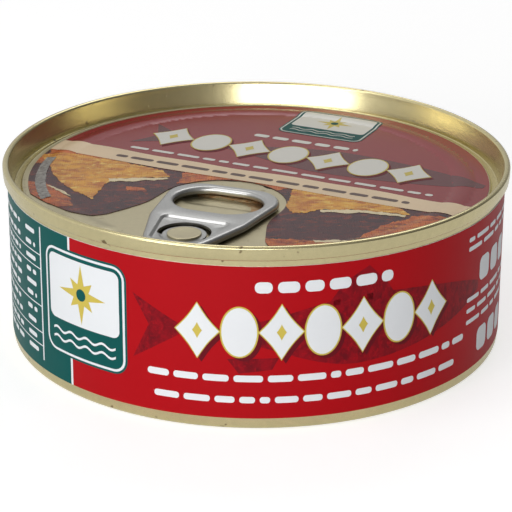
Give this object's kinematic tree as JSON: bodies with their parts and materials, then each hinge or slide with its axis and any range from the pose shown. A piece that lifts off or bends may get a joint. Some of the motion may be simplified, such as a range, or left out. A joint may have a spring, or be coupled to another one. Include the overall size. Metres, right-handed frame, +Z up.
{
  "type": "round fish tin with ring pull",
  "caption": "Shut round fish tin with a double-seamed lid, a ring pull, a paper wrap label and a round paper lid label cut out round the pull.",
  "frame": {"origin": "middle of the base, on the plane that the tin stands on", "axes": "+Z up, through the lid; -Y the front of the wrap label, with the ring pull to its left"},
  "size_m": [0.1024, 0.1024, 0.037],
  "materials": {
    "can_gold": "gold-lacquered tinplate, satin",
    "lid_gold": "gold-lacquered tinplate, satin",
    "tab_silver": "satin",
    "label_red": "printed, glossy varnish",
    "lid_label_red": "printed, glossy varnish"
  },
  "bodies": {
    "root": {"can_body": "can_gold", "lid_end": "lid_gold", "pull_tab": "tab_silver", "body_label": "label_red", "lid_label": "lid_label_red"}
  },
  "joints": []
}
